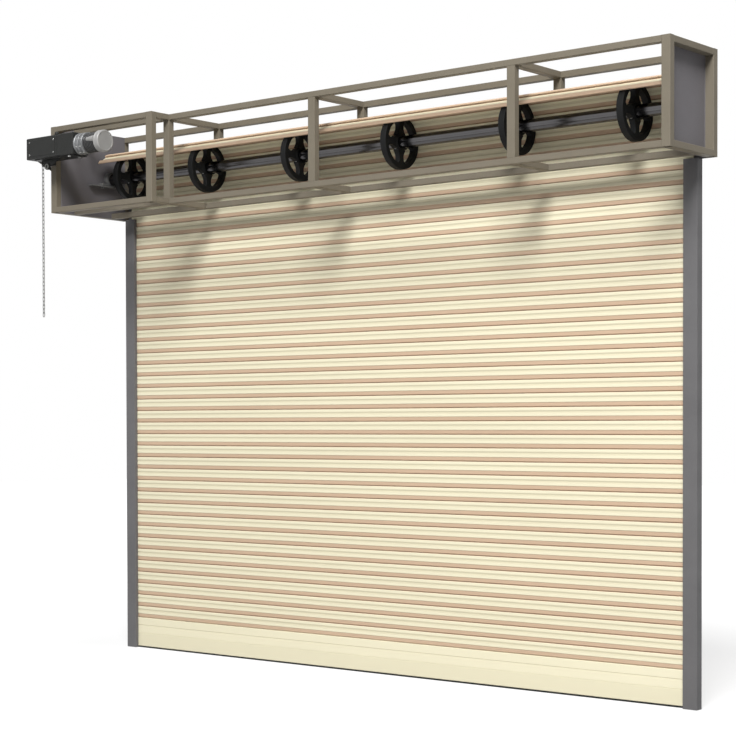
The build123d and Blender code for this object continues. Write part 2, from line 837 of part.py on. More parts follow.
links = []
for index in range(link_count):
    middle_z = first_link_z - index * link_step
    centre = (lever_eye_x, operator_y, middle_z)
    if index % 2 == 0:
        link_plane = Plane(origin=centre, x_dir=(0, 1, 0), z_dir=(1, 0, 0))
    else:
        link_plane = Plane(origin=centre, x_dir=(1, 0, 0), z_dir=(0, -1, 0))
    links.append(chain_link(link_plane).solid())
save(Compound(children=links), "release_chain")


# Bolts of the bearings and of the tray, all in one node

head_radius = 1.8 * bolt_radius
head_height = 1.3 * bolt_radius


bearing_nut_z = shelf_top - shelf_thickness - head_height

with BuildPart() as bolts:
    for plane_z, height, radius in (
        (bearing_nut_z, head_height, head_radius),
        (shelf_top - shelf_thickness, shelf_thickness + bearing_base_height, bolt_radius),
        (shelf_top + bearing_base_height, head_height, head_radius),
    ):
        with BuildSketch(Plane.XY.offset(plane_z)):
            with Locations(*bearing_bolts):
                if radius == bolt_radius:
                    Circle(radius)
                else:
                    RegularPolygon(radius, 6)
        extrude(amount=height)
    with BuildSketch(Plane.XY.offset(tray_top - tray_thickness - head_height)):
        with Locations(*tray_bolt_places):
            RegularPolygon(head_radius, 6)
    extrude(amount=head_height)
    with BuildSketch(Plane.XY.offset(tray_top - tray_thickness)):
        with Locations(*tray_bolt_places):
            Circle(bolt_radius)
    extrude(amount=tray_thickness)
save(bolts.part, "bolts")

print("shaft", round(shaft_y, 2), shaft_height, "wrap starts at", hanging_top)
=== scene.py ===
"""Dresses the roller shutter door: finishes, fine shapes, studio light and camera."""

import logging
import math
from dataclasses import dataclass
from enum import Enum
from typing import Sequence

import bmesh
import bpy
from mathutils import Matrix, Vector

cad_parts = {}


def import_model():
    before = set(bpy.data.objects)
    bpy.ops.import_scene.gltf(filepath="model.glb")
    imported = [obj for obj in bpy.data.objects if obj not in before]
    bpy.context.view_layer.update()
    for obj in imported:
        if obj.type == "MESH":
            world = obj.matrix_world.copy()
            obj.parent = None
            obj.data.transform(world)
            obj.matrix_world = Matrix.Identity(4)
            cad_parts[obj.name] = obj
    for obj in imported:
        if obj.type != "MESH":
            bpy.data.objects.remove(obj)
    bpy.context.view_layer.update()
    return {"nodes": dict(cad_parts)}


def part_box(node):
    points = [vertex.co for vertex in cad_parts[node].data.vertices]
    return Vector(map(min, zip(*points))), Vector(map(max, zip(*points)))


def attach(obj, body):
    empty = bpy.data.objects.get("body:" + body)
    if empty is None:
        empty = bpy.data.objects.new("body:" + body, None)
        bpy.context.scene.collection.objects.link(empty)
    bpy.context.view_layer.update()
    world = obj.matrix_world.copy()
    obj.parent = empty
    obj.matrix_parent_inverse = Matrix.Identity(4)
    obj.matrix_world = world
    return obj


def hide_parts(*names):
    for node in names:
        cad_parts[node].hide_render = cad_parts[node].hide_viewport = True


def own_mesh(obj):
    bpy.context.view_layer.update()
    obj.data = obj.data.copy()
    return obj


log = logging.getLogger("shutter")

Screen = tuple[int, int, int]
Colour = tuple[float, float, float]
Pair = tuple[float, float]
Triple = tuple[float, float, float]

Socket = bpy.types.NodeSocket

MM = 0.001
TO_MM = 1000.0


def linear(colour: Screen) -> Colour:
    """Turns a screen colour into a linear one.

    Args:
        colour: its red, green and blue, from 0 to 255.

    Returns:
        The linear colour.
    """
    return tuple(
        value / 12.92 if value <= 0.04045 else ((value + 0.055) / 1.055) ** 2.4
        for value in (part / 255 for part in colour)
    )


class Axis(Enum):
    """Direction that a tube, a block or a turned piece runs in."""

    X = 0
    Y = 1
    Z = 2

    def across(self, corner: Triple) -> Pair:
        """A point's two coordinates across the axis."""
        return tuple(value for index, value in enumerate(corner) if index != self.value)

    def point(self, along: float, across: Pair) -> Triple:
        """The point at a place along the axis and at two coordinates across it."""
        return (*across[: self.value], along, *across[self.value :])


class Body(Enum):
    """Moving groups that pieces made here ride on, by their names in the frame."""

    FRAME = "frame"
    CURTAIN = "curtain"
    BARREL = "barrel"
    PULL_CHAIN = "pull_chain"


# Finishes


class ShaderBoard:
    """Adds shader nodes to a material or a world and joins them."""

    def __init__(self, owner: bpy.types.Material | bpy.types.World) -> None:
        """Clears the owner's nodes.

        Args:
            owner: the material or world that gets the nodes.
        """
        owner.use_nodes = True
        self.tree = owner.node_tree
        self.tree.nodes.clear()

    def add(self, kind: str, **settings: object) -> bpy.types.Node:
        """Adds a node.

        Args:
            kind: the node's type.
            settings: properties set on the node.

        Returns:
            The new node.
        """
        node = self.tree.nodes.new(kind)
        for name, value in settings.items():
            setattr(node, name, value)
        return node

    def join(self, source: Socket, target: Socket) -> None:
        """Links an output to an input."""
        self.tree.links.new(source, target)

    def noise(self, place: Socket, scale: float, detail: float) -> Socket:
        """Adds a noise texture.

        Args:
            place: the socket with the texture's place.
            scale: how many lumps to a metre.
            detail: how many finer layers.

        Returns:
            The noise's value.
        """
        node = self.add("ShaderNodeTexNoise")
        node.inputs["Scale"].default_value = scale
        node.inputs["Detail"].default_value = detail
        self.join(place, node.inputs["Vector"])
        return node.outputs[0]

    def ranged(self, value: Socket, source: Pair, target: Pair) -> Socket:
        """Maps a value from one range to another, clamped.

        Args:
            value: the socket to map.
            source: the range that it comes in.
            target: the range that it goes to.

        Returns:
            The mapped value.
        """
        node = self.add("ShaderNodeMapRange", clamp=True)
        node.inputs["From Min"].default_value = source[0]
        node.inputs["From Max"].default_value = source[1]
        node.inputs["To Min"].default_value = target[0]
        node.inputs["To Max"].default_value = target[1]
        self.join(value, node.inputs["Value"])
        return node.outputs[0]

    def blended(self, share: Socket, first: Socket | Colour, second: Colour) -> Socket:
        """Mixes two colours.

        Args:
            share: how much of the second colour.
            first: the colour at share 0, or a socket with it.
            second: the colour at share 1.

        Returns:
            The mixed colour.
        """
        node = self.add("ShaderNodeMix", data_type="RGBA")
        first_input, second_input, result = node.inputs[6], node.inputs[7], node.outputs[2]
        self.join(share, node.inputs[0])
        if isinstance(first, tuple):
            first_input.default_value = (*first, 1.0)
        else:
            self.join(first, first_input)
        second_input.default_value = (*second, 1.0)
        return result

    def shown(self) -> Socket:
        """Finds the rays that show the background: seen, mirrored or through glass.

        Returns:
            A value that is 1 for these rays and 0 for the others.
        """
        rays = self.add("ShaderNodeLightPath")
        seen = rays.outputs["Is Camera Ray"]
        for kind in ("Is Glossy Ray", "Is Transmission Ray"):
            either = self.add("ShaderNodeMath", operation="MAXIMUM")
            self.join(seen, either.inputs[0])
            self.join(rays.outputs[kind], either.inputs[1])
            seen = either.outputs[0]
        return seen


# Ranges in which a noise's value mostly lies, narrow and wide
NOISE_CORE: Pair = (0.35, 0.65)
NOISE_BODY: Pair = (0.3, 0.7)
# How an edge's wear follows the fine noise: the noise's range and the wear's share
WEAR_NOISE: Pair = (0.3, 0.6)
WEAR_SHARE: Pair = (0.2, 1.0)
# Pointiness of a softly rounded edge
SOFT_EDGE: Pair = (0.515, 0.6)
# Layers of the broad and the fine noise, and the relief's height in metres
BROAD_DETAIL, FINE_DETAIL = 5.0, 3.0
BUMP_HEIGHT = 0.0004


@dataclass(frozen=True)
class Finish:
    """A surface finish: its colour, how that varies, its gloss, fine relief and worn edges."""

    name: str
    colour: Screen
    shade: Screen
    roughness: float
    metallic: float = 0.0
    lumps: float = 6.0
    stretch: Triple = (1.0, 1.0, 1.0)
    spread: float = 0.08
    relief_scale: float = 260.0
    relief: float = 0.15
    coat: float = 0.0
    coat_roughness: float = 0.25
    mirror: float = 0.25
    edge: Screen | None = None
    edge_share: float = 0.5

    def material(self) -> bpy.types.Material:
        """Makes the finish's material, or gives the one made before.

        Returns:
            The material.
        """
        made = bpy.data.materials.get(self.name)
        if made:
            return made
        made = bpy.data.materials.new(self.name)
        board = ShaderBoard(made)
        out = board.add("ShaderNodeOutputMaterial")
        shader = board.add("ShaderNodeBsdfPrincipled")
        board.join(shader.outputs[0], out.inputs["Surface"])
        place = board.add("ShaderNodeTexCoord")
        mapping = board.add("ShaderNodeMapping")
        mapping.inputs["Scale"].default_value = self.stretch
        board.join(place.outputs["Object"], mapping.inputs["Vector"])
        broad = board.noise(mapping.outputs[0], self.lumps, BROAD_DETAIL)
        fine = board.noise(mapping.outputs[0], self.relief_scale, FINE_DETAIL)
        patches = board.ranged(broad, NOISE_CORE, (0.0, 1.0))
        colour = board.blended(patches, linear(self.colour), linear(self.shade))
        if self.edge:
            geometry = board.add("ShaderNodeNewGeometry")
            worn = board.ranged(geometry.outputs["Pointiness"], SOFT_EDGE, (0.0, self.edge_share))
            patchy = board.add("ShaderNodeMath", operation="MULTIPLY")
            board.join(worn, patchy.inputs[0])
            board.join(board.ranged(fine, WEAR_NOISE, WEAR_SHARE), patchy.inputs[1])
            colour = board.blended(patchy.outputs[0], colour, linear(self.edge))
        board.join(colour, shader.inputs["Base Color"])
        low, high = self.roughness - self.spread, self.roughness + self.spread
        board.join(board.ranged(broad, NOISE_BODY, (low, high)), shader.inputs["Roughness"])
        shader.inputs["Metallic"].default_value = self.metallic
        shader.inputs["Specular IOR Level"].default_value = self.mirror
        shader.inputs["Coat Weight"].default_value = self.coat
        shader.inputs["Coat Roughness"].default_value = self.coat_roughness
        bump = board.add("ShaderNodeBump")
        bump.inputs["Strength"].default_value = self.relief
        bump.inputs["Distance"].default_value = BUMP_HEIGHT
        board.join(fine, bump.inputs["Height"])
        board.join(bump.outputs[0], shader.inputs["Normal"])
        return made


def rolled_paint(name: str, colour: Screen, shade: Screen, roughness: float = 0.5) -> Finish:
    """Smooth paint on rolled sheet, with its patches drawn out along the slats."""
    return Finish(name, colour, shade, roughness, stretch=(0.12, 1.0, 1.0), relief=0.05)


CREAM = rolled_paint("cream_paint", (246, 239, 210), (243, 236, 207))
# painted shade: a darker cream that stands for the shade in the slats' hollows and grooves
GROOVE_SHADE = rolled_paint("groove_painted_shade", (229, 221, 191), (225, 217, 188), 0.55)
PINK = rolled_paint("pink_band_paint", (213, 185, 158), (208, 180, 153), 0.55)
BAR = rolled_paint("bar_cream_paint", (238, 231, 202), (235, 228, 199))
TAUPE = Finish(
    "taupe_frame_paint", (117, 110, 96), (111, 104, 90), 0.6, relief=0.15, edge=(134, 126, 112)
)
GUIDE_GREY = Finish(
    "guide_grey_paint", (106, 105, 106), (101, 100, 101), 0.55, relief=0.15, edge=(124, 123, 124)
)
PLATE_GREY = Finish(
    "plate_grey_paint", (110, 107, 110), (105, 102, 105), 0.6, lumps=3.0, edge=(130, 128, 130)
)
WHEEL_BLACK = Finish(
    "wheel_black_paint", (5, 6, 6), (9, 10, 10), 0.6, relief=0.4, relief_scale=180.0,
    edge=(34, 34, 33), mirror=0.2,
)
POLISHED = Finish(
    "polished_shaft", (86, 85, 86), (80, 79, 80), 0.2, metallic=1.0,
    lumps=3.0, spread=0.03, relief=0.01,
)
RUBBER = Finish(
    "black_seal_rubber", (30, 30, 30), (38, 37, 36), 0.75, relief=0.4, relief_scale=500.0
)
OPERATOR_BLACK = Finish(
    "operator_black_paint", (38, 39, 38), (34, 35, 34), 0.48, relief=0.3,
    edge=(68, 68, 66), mirror=0.15,
)
BOSS_GREY = Finish("turned_boss", (120, 120, 116), (98, 98, 94), 0.45, metallic=0.6, lumps=60.0)
SILVER = Finish(
    "cast_silver", (132, 133, 134), (116, 117, 118), 0.48, metallic=0.4, lumps=20.0, relief=0.2,
    relief_scale=420.0,
)
MOTOR_DARK = Finish(
    "motor_dark_gloss", (50, 50, 50), (40, 40, 41), 0.25, coat=0.2, edge=(120, 120, 120)
)
CAP_GREY = Finish(
    "cap_light_grey", (165, 164, 162), (155, 154, 152), 0.42, metallic=0.25, relief=0.25,
    relief_scale=420.0,
)
ZINC = Finish(
    "zinc_chain", (120, 120, 118), (98, 98, 96), 0.42, metallic=0.8, lumps=60.0, relief=0.2
)
BOLT_ZINC = Finish(
    "zinc_bolts", (182, 182, 180), (150, 150, 148), 0.28, metallic=1.0, lumps=80.0, relief=0.2
)
DRIVE_STEEL = Finish(
    "oiled_steel", (94, 91, 86), (66, 63, 59), 0.36, metallic=1.0, lumps=40.0, relief=0.25
)
CAST_IRON = Finish(
    "bearing_cast_iron", (112, 112, 112), (98, 98, 98), 0.55, relief=0.6, relief_scale=160.0,
    edge=(134, 134, 132),
)


# Mesh tools: lengths in millimetres


class Shell:
    """Points, faces and material numbers of one piece, gathered before its mesh is made."""

    def __init__(self) -> None:
        """Starts an empty shell."""
        self.points: list[Vector] = []
        self.faces: list[list[int]] = []
        self.marks: list[int] = []

    def loft(
        self,
        loops: Sequence[Sequence[Triple]],
        ring: bool = False,
        side_marks: Sequence[int] | None = None,
    ) -> None:
        """Joins loops of equal counts into a closed shell.

        Args:
            loops: the loops, one after another.
            ring: whether the last loop joins the first one, with no end faces.
            side_marks: material number of each column of faces, or None where all are 0.
        """
        base, count, rows = len(self.points), len(loops[0]), len(loops)
        for loop in loops:
            self.points.extend(Vector(point) for point in loop)
        for row in range(rows if ring else rows - 1):
            here, there = base + row * count, base + (row + 1) % rows * count
            for column in range(count):
                after = (column + 1) % count
                self.faces.append([here + column, here + after, there + after, there + column])
                self.marks.append(side_marks[column] if side_marks else 0)
        if not ring:
            self.faces.append([base + column for column in reversed(range(count))])
            self.faces.append([base + (rows - 1) * count + column for column in range(count)])
            self.marks += [0, 0]

    def lathe(
        self,
        profile: Sequence[Pair],
        centre: Triple,
        axis: Axis = Axis.X,
        sides: int = 64,
        ring: bool = False,
    ) -> None:
        """Turns a profile round an axis.

        Args:
            profile: places along the axis, from the centre, with their radii.
            centre: a point of the axis.
            axis: the axis' direction.
            sides: how many steps in a turn.
            ring: whether the profile is closed, for a piece with a bore.
        """
        loops = []
        for along, radius in profile:
            loop = []
            for step in range(sides):
                turn = 2 * math.pi * step / sides
                first, second = radius * math.cos(turn), radius * math.sin(turn)
                offset = axis.point(along, (second, first) if axis is Axis.Y else (first, second))
                loop.append(tuple(c + o for c, o in zip(centre, offset)))
            loops.append(loop)
        self.loft(loops, ring=ring)

    def slab(self, low: Triple, high: Triple, edge: float, axis: Axis = Axis.X) -> None:
        """Adds a block with rounded edges.

        Args:
            low: its lowest corner.
            high: its highest corner.
            edge: radius of the edges.
            axis: direction that its section runs along.
        """
        start, end = low[axis.value], high[axis.value]
        (left, bottom), (right, top) = axis.across(low), axis.across(high)
        soft, least = 0.3 * edge, 0.15 * edge  # middle step of an edge, smallest corner radius
        loops = []
        for inset, along in (
            (edge, start), (soft, start + soft), (0.0, start + edge),
            (0.0, end - edge), (soft, end - soft), (edge, end),
        ):
            corner = (right - inset, top - inset)
            outline = rounded_box((left + inset, bottom + inset), corner, max(edge - inset, least))
            loops.append([axis.point(along, place) for place in outline])
        self.loft(loops)

    def hollow(self, low: Triple, high: Triple, wall: float, corner: float, axis: Axis) -> None:
        """Adds a rectangular tube with rounded corners and open ends.

        Args:
            low: its lowest corner.
            high: its highest corner.
            wall: thickness of the wall.
            corner: outer radius of the corners.
            axis: direction that it runs in.
        """
        start, end = low[axis.value], high[axis.value]
        (left, bottom), (right, top) = axis.across(low), axis.across(high)
        loops = []
        for inset, radius, ends in (
            (0.0, corner, (start, end)),
            (wall, corner - wall, (end, start)),
        ):
            far = (right - inset, top - inset)
            outline = rounded_box((left + inset, bottom + inset), far, radius)
            loops += [[axis.point(along, place) for place in outline] for along in ends]
        self.loft(loops, ring=True)

    def wire(self, path: Sequence[Triple], normal: Triple, radius: float, sides: int = 10) -> None:
        """Adds a closed loop of round wire that lies in a plane.

        Args:
            path: points of the wire's middle line.
            normal: the plane's normal.
            radius: the wire's radius.
            sides: how many steps round the wire.
        """
        across = Vector(normal)
        turns = [2 * math.pi * step / sides for step in range(sides)]
        loops = []
        for index, point in enumerate(path):
            ahead = Vector(path[(index + 1) % len(path)]) - Vector(path[index - 1])
            outward = ahead.normalized().cross(across)
            loops.append(
                [
                    tuple(
                        Vector(point)
                        + radius * math.cos(turn) * outward
                        + radius * math.sin(turn) * across
                    )
                    for turn in turns
                ]
            )
        self.loft(loops, ring=True)


def rounded_box(low: Pair, high: Pair, corner: float, steps: int = 4) -> list[Pair]:
    """Outline of a rectangle with rounded corners.

    Args:
        low: lowest corner.
        high: highest corner.
        corner: radius of the corners.
        steps: how many steps in a corner.

    Returns:
        The outline's points, anticlockwise.
    """
    outline = []
    for quarter, (x, y) in enumerate(
        (
            (high[0] - corner, high[1] - corner),
            (low[0] + corner, high[1] - corner),
            (low[0] + corner, low[1] + corner),
            (high[0] - corner, low[1] + corner),
        )
    ):
        for step in range(steps + 1):
            turn = math.pi / 2 * (quarter + step / steps)
            outline.append((x + corner * math.cos(turn), y + corner * math.sin(turn)))
    return outline


def softened(points: Sequence[Pair], radius: float, steps: int = 3) -> list[Pair]:
    """Rounds the corners of an open path.

    Args:
        points: the path's corners.
        radius: how far from a corner its curve starts.
        steps: how many steps in a curve.

    Returns:
        The rounded path.
    """
    most = 0.45  # share of a run that a curve may take
    path = [points[0]]
    for before, corner, after in zip(points, points[1:], points[2:]):
        middle = Vector(corner)
        into, out = Vector(before) - middle, Vector(after) - middle
        reach_in = min(radius, most * into.length)
        reach_out = min(radius, most * out.length)
        start = middle + into.normalized() * reach_in
        end = middle + out.normalized() * reach_out
        for step in range(steps + 1):
            share = step / steps
            point = start * (1 - share) ** 2 + middle * 2 * share * (1 - share) + end * share**2
            path.append((point.x, point.y))
    path.append(points[-1])
    return path


def divided(points: Sequence[Pair], longest: float) -> list[Pair]:
    """Divides a path's long runs.

    Args:
        points: the path.
        longest: the longest run that stays whole.

    Returns:
        The divided path.
    """
    path = [points[0]]
    for start, end in zip(points, points[1:]):
        parts = max(1, math.ceil(math.dist(start, end) / longest))
        for part in range(1, parts + 1):
            share = part / parts
            path.append(tuple(a + share * (b - a) for a, b in zip(start, end)))
    return path


def sheet_sides(points: Sequence[Pair], thickness: float) -> list[Pair]:
    """Closed outline of a sheet folded along a path.

    Args:
        points: the sheet's middle line.
        thickness: the sheet's thickness.

    Returns:
        The outline: along one side and back along the other.
    """
    tiny = 1e-9
    one, other = [], []
    for index, point in enumerate(points):
        before = points[max(index - 1, 0)]
        after = points[min(index + 1, len(points) - 1)]
        into = Vector(point) - Vector(before)
        out = Vector(after) - Vector(point)
        into = out if into.length < tiny else into
        out = into if out.length < tiny else out
        mitre = Vector((-into.y, into.x)).normalized() + Vector((-out.y, out.x)).normalized()
        reach = mitre * (thickness / mitre.length_squared)
        one.append((point[0] + reach.x, point[1] + reach.y))
        other.append((point[0] - reach.x, point[1] - reach.y))
    return one + other[::-1]


def dressed(
    name: str,
    shell: Shell,
    body: Body,
    finishes: Sequence[Finish],
    stands_for: Sequence[str] = (),
    sharp: float = 32.0,
) -> bpy.types.Object:
    """Makes a piece of a shell, in its finish and on its body.

    Args:
        name: the piece's name.
        shell: its points and faces, in millimetres.
        body: the body that it moves with.
        finishes: the finishes that the shell's marks number.
        stands_for: the CAD nodes that it stands for.
        sharp: angle in degrees above which an edge stays sharp.

    Returns:
        The piece.
    """
    mesh = bpy.data.meshes.new(name)
    mesh.from_pydata([point * MM for point in shell.points], [], shell.faces)
    mesh.polygons.foreach_set("material_index", shell.marks)
    for finish in finishes:
        mesh.materials.append(finish.material())
    work = bmesh.new()
    work.from_mesh(mesh)
    bmesh.ops.recalc_face_normals(work, faces=work.faces)
    work.to_mesh(mesh)
    work.free()
    mesh.polygons.foreach_set("use_smooth", [True] * len(mesh.polygons))
    mesh.set_sharp_from_angle(angle=math.radians(sharp))
    mesh.update()
    piece = bpy.data.objects.new(name, mesh)
    bpy.context.scene.collection.objects.link(piece)
    level = piece.modifiers.new("level", "WEIGHTED_NORMAL")
    level.keep_sharp = True
    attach(piece, body.value)
    if stands_for:
        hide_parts(*stands_for)
    log.info("%s: %d faces on %s", name, len(mesh.polygons), body.value)
    return piece


@dataclass
class Keeper:
    """Dresses nodes that stay as the frame gives them: a finish and softly rounded edges."""

    nodes: dict[str, bpy.types.Object]
    weld_reach: float = 0.01
    rounded_above: float = 40.0

    def dress(self, names: Sequence[str], finish: Finish, width: float = 0.0) -> None:
        """Gives nodes a finish and rounded edges.

        Args:
            names: the nodes.
            finish: their finish.
            width: the rounding's width in millimetres, or 0.
        """
        for name in names:
            node = self.nodes[name]
            node.data.materials.clear()
            node.data.materials.append(finish.material())
            if width:
                self.round_edges(node, width)
            log.info("%s: kept as it is in the frame", name)

    def round_edges(self, node: bpy.types.Object, width: float) -> None:
        """Merges a node's doubled points and rounds its sharp edges.

        Args:
            node: the node.
            width: the rounding's width in millimetres.
        """
        joined = node.modifiers.new("weld", "WELD")
        joined.merge_threshold = self.weld_reach * MM
        edge = node.modifiers.new("edge", "BEVEL")
        edge.width = width * MM
        edge.segments = 2
        edge.limit_method = "ANGLE"
        edge.angle_limit = math.radians(self.rounded_above)
        edge.use_clamp_overlap = True
        edge.harden_normals = True

    def corners(self, name: str) -> tuple[Triple, Triple]:
        """Lowest and highest corner of a node in millimetres."""
        low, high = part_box(name)
        return tuple(low * TO_MM), tuple(high * TO_MM)


# Curtain


# A slat's finishes, and their numbers in that order; the third is painted shade for the faces deep
# in a hollow or groove
SLAT_PAINTS = (CREAM, PINK, GROOVE_SHADE)
FACE, BAND, HOLLOW_SHADE = range(3)


@dataclass
class Curtain:
    """Slats with their bottom bar and seal: hanging, lifting and wound on the wheels."""

    # the curtain's place, its slats and how far it lifts
    pitch: float = 77.0
    sheet: float = 1.5
    half_length: float = 2120.0
    front_y: float = -28.2
    depth: float = 16.0
    last_joint: float = 207.5
    lifting_count: int = 4
    hanging_count: int = 34
    wound_count: int = 5
    shaft_height: float = 3120.0
    wheel_radius: float = 155.3
    travel: float = 2593.0

    # a slat's hook with its band, heights from the joint and depths from the face
    band_height: float = 22.0
    band_depth: float = 3.0
    hook_drop: float = 4.0
    hook_rise: float = 16.2
    hook_leg: float = 12.0
    fold: float = 2.0
    bend: float = 1.6

    # its tongue, with the ends of the slope to the back in sheet thicknesses under the hook
    joint_gap: float = 0.3
    tongue_depth: float = 7.5
    tongue_start: float = 3.0
    tongue_end: float = 1.4

    # its face, up to that depth, with the narrow groove or the soft hollow, and the share of the
    # groove's depth past which faces take the painted shade
    face_limit: float = 1.2
    groove_half: float = 3.0
    groove_drop: float = 3.0
    groove_depth: float = 1.8
    hollow_half: float = 11.0
    hollow_steps: int = 10
    hollow_shade_share: float = 0.5

    # the bottom bar, with half the width of its slot
    bar_low: float = 10.0
    bar_high: float = 98.0
    bar_wall: float = 2.0
    bar_slot: float = 3.0
    bar_bend: float = 2.6

    # longest straight runs of a section, hanging and wound on the wheels
    flat_run: float = 400.0
    wound_run: float = 7.0

    def place(self, depth: float, height: float) -> Pair:
        """Place of a curtain point: straight up to the shaft, then round it.

        Args:
            depth: how far behind the front of the curtain.
            height: how far up the curtain.

        Returns:
            Y and Z in millimetres.
        """
        if height <= self.shaft_height:
            return (self.front_y + depth, height)
        turn = (height - self.shaft_height) / (self.wheel_radius + self.depth / 2)
        radius = self.wheel_radius + depth
        centre = self.front_y - self.wheel_radius
        return (centre + radius * math.cos(turn), self.shaft_height + radius * math.sin(turn))

    def hook(self, joint: float) -> list[Pair]:
        """Section of a slat's lower end: the hook and the coloured band.

        Args:
            joint: height of the slat's lower joint.

        Returns:
            The section's corners, as depths and heights.
        """
        face, low = self.sheet / 2, joint - self.hook_drop + self.sheet / 2
        band_top = joint + self.band_height - self.hook_drop
        return [
            (self.hook_leg, joint + self.hook_rise),
            (self.hook_leg, low + self.fold),
            (self.hook_leg - self.fold, low),
            (self.band_depth + self.fold, low),
            (self.band_depth, low + self.fold),
            (self.band_depth, band_top),
            (face, band_top + self.band_depth),
        ]

    def groove(self, height: float) -> list[Pair]:
        """Section of the narrow groove across the plain slat.

        Args:
            height: height of its middle.

        Returns:
            Its corners.
        """
        face = self.sheet / 2
        return [
            (face, height - self.groove_half),
            (face + self.groove_depth, height),
            (face, height + self.groove_half),
        ]

    def soft_groove(self, height: float) -> list[Pair]:
        """Section of the wide, smooth hollow along the middle of a banded slat.

        Args:
            height: height of its middle.

        Returns:
            Its points.
        """
        face = self.sheet / 2
        hollow = []
        for step in range(self.hollow_steps + 1):
            turn = math.pi * (2 * step / self.hollow_steps - 1)
            depth = self.groove_depth * (1 + math.cos(turn)) / 2
            hollow.append((face + depth, height + self.hollow_half * turn / math.pi))
        return hollow

    def tongue(self, joint: float) -> list[Pair]:
        """Section of a slat's upper end: back, up, over and down into the hook above.

        Args:
            joint: height of the slat's upper joint.

        Returns:
            The section's corners.
        """
        face, back = self.sheet / 2, self.depth - self.sheet / 2
        foot = joint - self.hook_drop
        top = joint + self.hook_rise + self.joint_gap + self.sheet
        return [
            (face, foot - self.tongue_start * self.sheet),
            (back, foot - self.tongue_end * self.sheet),
            (back, top - self.fold),
            (back - self.fold, top),
            (self.tongue_depth + self.fold, top),
            (self.tongue_depth, top - self.fold),
            (self.tongue_depth, joint),
        ]

    def add_slat(self, shell: Shell, corners: Sequence[Pair], banded: bool, longest: float) -> None:
        """Adds a slat to a shell.

        Args:
            shell: the shell.
            corners: the slat's section, as depths and heights.
            banded: whether it starts with a coloured band.
            longest: the longest straight run.
        """
        path = divided(softened(corners, self.bend), longest)
        face = [index for index, point in enumerate(path) if point[0] < self.face_limit]
        edge_paint = BAND if banded else FACE
        marks = []
        for index, (start, end) in enumerate(zip(path, path[1:])):
            # faces deep in the hollow or groove take the painted shade colour
            deep_shaded = (start[0] + end[0]) / 2 > self.hollow_shade_share * self.groove_depth
            if deep_shaded and face[0] <= index < face[-1]:
                marks.append(HOLLOW_SHADE)
            elif face[0] - 1 <= index <= face[-1]:
                marks.append(FACE)
            else:
                marks.append(edge_paint)
        outline = sheet_sides([self.place(*point) for point in path], self.sheet)
        shell.loft(self.full_width(outline), side_marks=marks + [FACE] + marks[::-1] + [edge_paint])

    def full_width(self, outline: Sequence[Pair]) -> list[list[Triple]]:
        """A section's two ends, at the curtain's left and right edge."""
        return [[(x, y, z) for y, z in outline] for x in (-self.half_length, self.half_length)]

    def run(self, first_joint: float, count: int, longest: float) -> Shell:
        """Makes slats one above another.

        Args:
            first_joint: height of the lowest slat's lower joint.
            count: how many slats.
            longest: the longest straight run of a section.

        Returns:
            The shell that holds them.
        """
        shell = Shell()
        for index in range(count):
            joint = first_joint + index * self.pitch
            middle = joint + self.pitch / 2 + self.band_height / 4
            corners = self.hook(joint) + self.soft_groove(middle) + self.tongue(joint + self.pitch)
            self.add_slat(shell, corners, True, longest)
        return shell

    def build(self) -> None:
        """Builds the slats, the bottom bar and the seal."""
        hanging_foot = self.last_joint + self.lifting_count * self.pitch
        hanging_top = hanging_foot + self.hanging_count * self.pitch

        hanging = self.run(hanging_foot, self.hanging_count, self.flat_run)
        piece = dressed(
            "curtain_slats", hanging, Body.FRAME, SLAT_PAINTS, ["hanging_slats"]
        )
        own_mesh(piece)

        lifting = self.run(self.last_joint, self.lifting_count, self.flat_run)
        face, back = self.sheet / 2, self.depth - self.sheet / 2
        corners = [(back, self.bar_high + face), (face, self.bar_high + face)]
        corners += self.groove((self.bar_high + self.last_joint) / 2 - self.groove_drop)
        self.add_slat(lifting, corners + self.tongue(self.last_joint), False, self.flat_run)
        dressed("lower_slats", lifting, Body.CURTAIN, SLAT_PAINTS, ["lifting_slats"])

        wound = self.run(hanging_top, self.wound_count, self.wound_run)
        dressed("wound_slats", wound, Body.BARREL, SLAT_PAINTS, ["wrapped_slats"])
        self.build_bar()
        self.build_seal()

    def build_bar(self) -> None:
        """Builds the bottom bar, a box section that is open along its foot."""
        half = self.bar_wall / 2
        front, rear = self.front_y + half, self.front_y + self.depth - half
        foot, head = self.bar_low + half, self.bar_high - half
        middle, gap = self.front_y + self.depth / 2, self.bar_slot + half
        corners = [
            (middle + gap, foot), (rear, foot), (rear, head),
            (front, head), (front, foot), (middle - gap, foot),
        ]
        bar = Shell()
        bar.loft(self.full_width(sheet_sides(softened(corners, self.bar_bend, 4), self.bar_wall)))
        dressed("bottom_bar_skin", bar, Body.CURTAIN, (BAR,), ["bottom_bar"])

    def build_seal(self) -> None:
        """Builds the rubber seal: a neck in the bar's slot over a foot with two lips."""
        low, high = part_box("bottom_seal")
        half, foot, head = (high.y - low.y) * TO_MM / 2, low.z * TO_MM, high.z * TO_MM
        neck, neck_foot, shoulder = 2.8, self.bar_low + 0.2, self.bar_low - 0.2
        one_side = [
            (-neck, head), (-neck, neck_foot), (-half, shoulder), (-half, foot + 3.4),
            (-half + 1.2, foot + 2.0), (-half + 1.6, foot + 0.5), (-half + 3.0, foot), (-1.6, foot),
            (-0.8, foot + 1.0),
        ]
        outline = one_side + [(-y, z) for y, z in reversed(one_side)]
        middle = self.front_y + self.depth / 2
        seal = Shell()
        seal.loft(self.full_width([(middle + y, z) for y, z in outline]))
        dressed("rubber_seal", seal, Body.CURTAIN, (RUBBER,), ["bottom_seal"])


# Barrel


